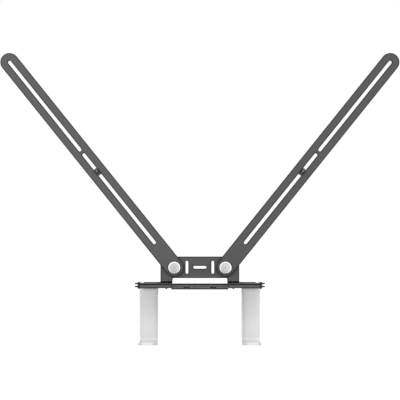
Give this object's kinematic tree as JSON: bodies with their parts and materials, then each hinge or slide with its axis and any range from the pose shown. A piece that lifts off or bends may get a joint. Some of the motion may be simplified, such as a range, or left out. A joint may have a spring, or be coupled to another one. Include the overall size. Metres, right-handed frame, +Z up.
{
  "type": "tv mounting bar",
  "caption": "V-shaped steel screen bracket: slotted pivoting arms on a folded plate, with a shelf and J-shaped hooks that hold a slim bar under the screen.",
  "frame": {"origin": "midway between the screws that go into the screen, on the face of the arms that lies against the screen", "axes": "+X to the right seen from the screen side, +Y away from the screen, +Z up"},
  "size_m": [0.7794, 0.0729, 0.5602],
  "materials": {
    "dark_coat": "fine matt powder coat",
    "pale_coat": "pale grey satin coat",
    "bright_steel": "bright turned face",
    "zinc_steel": "zinc plated",
    "black_steel": "black oxide",
    "nylon": "matt"
  },
  "bodies": {
    "bracket": {"back_plate": "dark_coat", "shelf_tray": "dark_coat", "left_hook": "pale_coat", "right_hook": "pale_coat", "left_pivot_bolt": "bright_steel", "right_pivot_bolt": "bright_steel", "left_pivot_washer": "nylon", "right_pivot_washer": "nylon", "left_lock_washer": "zinc_steel", "right_lock_washer": "zinc_steel", "left_pivot_nut": "zinc_steel", "right_pivot_nut": "zinc_steel", "end_screws": "black_steel", "end_spacers": "black_steel", "end_nuts": "black_steel", "shelf_screws": "black_steel", "shelf_spacers": "black_steel", "shelf_nuts": "black_steel", "hook_screws": "black_steel", "hook_nuts": "black_steel"},
    "left_arm": {"left_arm": "dark_coat"},
    "right_arm": {"right_arm": "dark_coat"},
    "left_screw": {"left_screen_screw": "black_steel", "left_screen_washer": "black_steel"},
    "right_screw": {"right_screen_screw": "black_steel", "right_screen_washer": "black_steel"}
  },
  "joints": [
    {"name": "left_arm_swing", "type": "hinge", "parent": "bracket", "child": "left_arm", "pos_m": [-0.05, 0.0015, -0.1869], "axis": [0, 1, 0], "range_deg": [-51.25, 38.75]},
    {"name": "right_arm_swing", "type": "hinge", "parent": "bracket", "child": "right_arm", "pos_m": [0.05, 0.0015, -0.1869], "axis": [0, -1, 0], "range_deg": [-51.25, 38.75]},
    {"name": "left_screw_slide", "type": "slide", "parent": "left_arm", "child": "left_screw", "axis": [-0.6259, 0, 0.7799], "range_m": [-0.1771, 0.042]},
    {"name": "right_screw_slide", "type": "slide", "parent": "right_arm", "child": "right_screw", "axis": [0.6259, 0, 0.7799], "range_m": [-0.1771, 0.042]}
  ]
}
